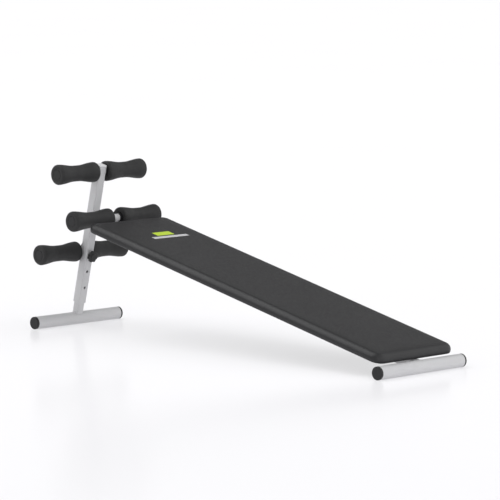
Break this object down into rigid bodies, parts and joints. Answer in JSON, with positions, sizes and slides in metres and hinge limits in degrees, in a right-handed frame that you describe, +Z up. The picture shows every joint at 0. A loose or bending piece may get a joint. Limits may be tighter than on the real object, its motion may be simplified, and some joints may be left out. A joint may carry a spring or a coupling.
{
  "type": "decline sit up bench",
  "caption": "Sloping padded sit-up bench on round feet, with a leaning post of dogbone foam leg rollers and a telescoping front leg locked by a lobed knob.",
  "frame": {"origin": "on the floor, midway between the two feet, under the middle of the bench", "axes": "+X from the roller post towards the low rear foot, +Y across the bench to the right of someone looking down the slope from the post, +Z up"},
  "size_m": [1.54, 0.37, 0.5371],
  "materials": {
    "frame_paint": "satin silver-grey powder coat",
    "foam": "black skinned foam, matte",
    "cover": "black vinyl with a fine grain, satin",
    "plywood": "plywood stained black",
    "black_plastic": "moulded black plastic",
    "sleeve_plastic": "extruded black plastic",
    "light_plastic": "moulded light grey plastic",
    "zinc_steel": "zinc plated"
  },
  "bodies": {
    "frame": {"post_tube": "frame_paint", "post_top_cap": "light_plastic", "knob_thread_plate": "frame_paint", "main_frame_tube": "frame_paint", "rear_foot_tube": "frame_paint", "rear_foot_cap_left": "black_plastic", "rear_foot_cap_right": "black_plastic", "top_roller_bar": "frame_paint", "middle_roller_bar": "frame_paint", "lower_roller_bar": "frame_paint", "top_left_end_plug": "black_plastic", "top_right_end_plug": "black_plastic", "middle_left_end_plug": "black_plastic", "middle_right_end_plug": "black_plastic", "lower_left_end_plug": "black_plastic", "lower_right_end_plug": "black_plastic", "roller_stop_rings": "black_plastic", "pad_strap_upper": "frame_paint", "pad_strap_middle": "frame_paint", "pad_strap_lower": "frame_paint", "middle_bar_saddle": "frame_paint", "pad_board": "plywood", "pad_cushion": "cover", "pad_tee_nuts": "zinc_steel", "pad_washers": "zinc_steel", "pad_screws": "zinc_steel"},
    "front_leg": {"front_foot_tube": "frame_paint", "front_foot_cap_left": "black_plastic", "front_foot_cap_right": "black_plastic", "inner_leg_tube": "frame_paint", "leg_top_plug": "black_plastic"},
    "knob_washer": {"knob_washer": "black_plastic"},
    "knob": {"knob_head": "black_plastic", "knob_stud": "zinc_steel"},
    "top_left_roller": {"top_left_core": "sleeve_plastic", "top_left_foam": "foam"},
    "top_right_roller": {"top_right_core": "sleeve_plastic", "top_right_foam": "foam"},
    "middle_left_roller": {"middle_left_core": "sleeve_plastic", "middle_left_foam": "foam"},
    "middle_right_roller": {"middle_right_core": "sleeve_plastic", "middle_right_foam": "foam"},
    "lower_left_roller": {"lower_left_core": "sleeve_plastic", "lower_left_foam": "foam"},
    "lower_right_roller": {"lower_right_core": "sleeve_plastic", "lower_right_foam": "foam"}
  },
  "joints": [
    {"name": "height_adjust", "type": "slide", "parent": "frame", "child": "front_leg", "axis": [-0.2284, 0, -0.9736], "range_m": [0, 0.1108]},
    {"name": "knob_travel", "type": "slide", "parent": "frame", "child": "knob_washer", "axis": [0.9736, 0, -0.2284], "range_m": [-0.0025, 0.00187]},
    {"name": "knob_turn", "type": "hinge", "parent": "knob_washer", "child": "knob", "pos_m": [-0.6718, 0, 0.22598], "axis": [0.9736, 0, -0.2284], "range_deg": [-720, 540]},
    {"name": "top_left_spin", "type": "hinge", "parent": "frame", "child": "top_left_roller", "pos_m": [-0.6364, -0.101, 0.50436], "axis": [0, 1, 0], "continuous": true},
    {"name": "top_right_spin", "type": "hinge", "parent": "frame", "child": "top_right_roller", "pos_m": [-0.6364, 0.101, 0.50436], "axis": [0, 1, 0], "continuous": true},
    {"name": "middle_left_spin", "type": "hinge", "parent": "frame", "child": "middle_left_roller", "pos_m": [-0.56753, -0.101, 0.36004], "axis": [0, 1, 0], "continuous": true},
    {"name": "middle_right_spin", "type": "hinge", "parent": "frame", "child": "middle_right_roller", "pos_m": [-0.56753, 0.101, 0.36004], "axis": [0, 1, 0], "continuous": true},
    {"name": "lower_left_spin", "type": "hinge", "parent": "frame", "child": "lower_left_roller", "pos_m": [-0.72613, -0.101, 0.24088], "axis": [0, 1, 0], "continuous": true},
    {"name": "lower_right_spin", "type": "hinge", "parent": "frame", "child": "lower_right_roller", "pos_m": [-0.72613, 0.101, 0.24088], "axis": [0, 1, 0], "continuous": true}
  ],
  "couplings": [
    {"joint": "knob_turn", "follows": "knob_travel", "rad_per_m": 5026.5}
  ]
}
